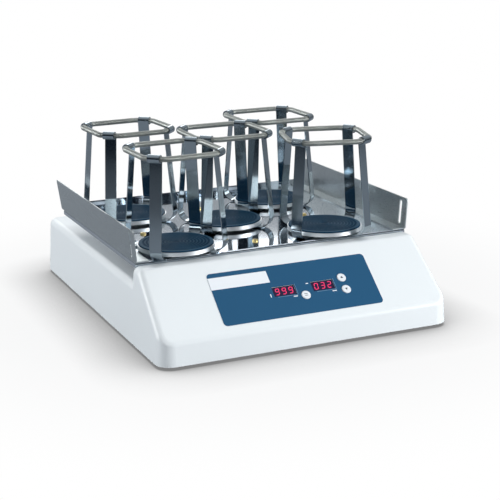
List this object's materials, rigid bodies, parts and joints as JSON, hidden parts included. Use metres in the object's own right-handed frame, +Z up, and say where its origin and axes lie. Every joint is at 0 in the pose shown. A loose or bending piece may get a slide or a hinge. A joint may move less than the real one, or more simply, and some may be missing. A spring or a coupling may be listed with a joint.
{
  "type": "orbital shaker",
  "caption": "Bench orbital shaker: polished platform with side guards and spring flask clamps on a white housing with a sloping control panel.",
  "frame": {"origin": "on the table under the middle of the housing", "axes": "+Z up, +Y from the control panel to the back, +X to the user's right when facing the panel"},
  "size_m": [0.398, 0.49, 0.2398],
  "materials": {
    "housing": "white moulded plastic, satin, slightly bluish",
    "label_blue": "printed polyester label, satin blue with bare paler areas",
    "display_red": "dark red window over seven-bar digits",
    "button_blue": "moulded plastic, satin",
    "polished_steel": "stainless steel, polished to a mirror",
    "guard_steel": "stainless steel, polished, with a satin outer face",
    "spring_steel": "stainless spring steel, polished",
    "coil_steel": "stainless steel coil spring, drawn closed here",
    "pad_rubber": "blue-black rubber with fine concentric grooves",
    "foot_rubber": "black rubber",
    "yellow_screw": "yellow passivated steel",
    "zinc_screw": "zinc plated steel",
    "sheet_steel": "zinc plated sheet steel",
    "frame_paint": "dark grey paint, satin",
    "machined_aluminium": "turned and milled",
    "cast_aluminium": "cast, fine grained",
    "cast_iron": "machined faces, dark",
    "shaft_steel": "ground steel",
    "bearing_steel": "ground steel with dark seals",
    "motor_black": "black paint, satin",
    "belt_rubber": "black, flat",
    "board_green": "green laminate",
    "black_plastic": "black moulded plastic"
  },
  "bodies": {
    "housing": {"housing_shell": "housing", "base_plate": "sheet_steel", "rubber_feet": "foot_rubber", "base_screws": "zinc_screw", "control_label": "label_blue", "speed_display": "display_red", "time_display": "display_red", "control_board": "board_green", "drive_frame": "frame_paint", "main_bearing_housing": "machined_aluminium", "guide_bearing_housings": "machined_aluminium", "shaft_bearings": "bearing_steel", "frame_screws": "zinc_screw", "motor": "motor_black", "motor_bracket": "sheet_steel", "drive_belt": "belt_rubber", "power_supply": "sheet_steel", "rear_panel": "sheet_steel", "power_inlet": "black_plastic", "switch_frame": "black_plastic", "fuse_holder": "black_plastic"},
    "crank": {"drive_shaft": "shaft_steel", "driven_pulley": "machined_aluminium", "counterweight": "cast_iron"},
    "platform": {"platform_plate": "polished_steel", "platform_carrier": "cast_aluminium", "pin_bearings": "bearing_steel", "left_guard": "guard_steel", "right_guard": "guard_steel", "platform_screws": "yellow_screw", "clamp_front_left_legs": "spring_steel", "clamp_front_left_disc": "polished_steel", "clamp_front_left_pad": "pad_rubber", "clamp_front_left_ring": "coil_steel", "clamp_front_right_legs": "spring_steel", "clamp_front_right_disc": "polished_steel", "clamp_front_right_pad": "pad_rubber", "clamp_front_right_ring": "coil_steel", "clamp_centre_legs": "spring_steel", "clamp_centre_disc": "polished_steel", "clamp_centre_pad": "pad_rubber", "clamp_centre_ring": "coil_steel", "clamp_back_left_legs": "spring_steel", "clamp_back_left_disc": "polished_steel", "clamp_back_left_pad": "pad_rubber", "clamp_back_left_ring": "coil_steel", "clamp_back_right_legs": "spring_steel", "clamp_back_right_disc": "polished_steel", "clamp_back_right_pad": "pad_rubber", "clamp_back_right_ring": "coil_steel"},
    "motor_rotor": {"motor_pulley": "machined_aluminium"},
    "set_button": {"set_button": "button_blue"},
    "up_button": {"up_button": "button_blue"},
    "down_button": {"down_button": "button_blue"},
    "power_rocker": {"power_rocker": "black_plastic"},
    "guide_front_left": {"guide_crank_front_left": "shaft_steel"},
    "guide_front_right": {"guide_crank_front_right": "shaft_steel"},
    "guide_back_left": {"guide_crank_back_left": "shaft_steel"},
    "guide_back_right": {"guide_crank_back_right": "shaft_steel"}
  },
  "joints": [
    {"name": "drive_spin", "type": "hinge", "parent": "housing", "child": "crank", "pos_m": [-0.015, -0.002, 0.06], "axis": [0, 0, 1], "continuous": true},
    {"name": "platform_orbit", "type": "hinge", "parent": "crank", "child": "platform", "pos_m": [-0.015, -0.012, 0.097], "axis": [0, 0, 1], "continuous": true},
    {"name": "motor_spin", "type": "hinge", "parent": "housing", "child": "motor_rotor", "pos_m": [0.08, -0.002, 0.03], "axis": [0, 0, 1], "continuous": true},
    {"name": "guide_front_left_spin", "type": "hinge", "parent": "housing", "child": "guide_front_left", "pos_m": [-0.125, -0.087, 0.06], "axis": [0, 0, 1], "continuous": true},
    {"name": "guide_front_right_spin", "type": "hinge", "parent": "housing", "child": "guide_front_right", "pos_m": [0.095, -0.087, 0.06], "axis": [0, 0, 1], "continuous": true},
    {"name": "guide_back_left_spin", "type": "hinge", "parent": "housing", "child": "guide_back_left", "pos_m": [-0.125, 0.083, 0.06], "axis": [0, 0, 1], "continuous": true},
    {"name": "guide_back_right_spin", "type": "hinge", "parent": "housing", "child": "guide_back_right", "pos_m": [0.095, 0.083, 0.06], "axis": [0, 0, 1], "continuous": true},
    {"name": "set_button_press", "type": "slide", "parent": "housing", "child": "set_button", "axis": [0, 0.6428, -0.766], "range_m": [0, 0.0008], "stiffness_N_per_m": 500, "springref_m": -0.0006},
    {"name": "up_button_press", "type": "slide", "parent": "housing", "child": "up_button", "axis": [0, 0.6428, -0.766], "range_m": [0, 0.0008], "stiffness_N_per_m": 500, "springref_m": -0.0006},
    {"name": "down_button_press", "type": "slide", "parent": "housing", "child": "down_button", "axis": [0, 0.6428, -0.766], "range_m": [0, 0.0008], "stiffness_N_per_m": 500, "springref_m": -0.0006},
    {"name": "power_rocker_tip", "type": "hinge", "parent": "housing", "child": "power_rocker", "pos_m": [0.09, 0.23612, 0.0416], "axis": [-1, 0, 0], "range_deg": [0, 14]}
  ],
  "couplings": [
    {"joint": "platform_orbit", "follows": "drive_spin", "ratio": -1},
    {"joint": "motor_spin", "follows": "drive_spin", "ratio": 4},
    {"joint": "guide_front_left_spin", "follows": "drive_spin", "ratio": 1},
    {"joint": "guide_front_right_spin", "follows": "drive_spin", "ratio": 1},
    {"joint": "guide_back_left_spin", "follows": "drive_spin", "ratio": 1},
    {"joint": "guide_back_right_spin", "follows": "drive_spin", "ratio": 1}
  ]
}
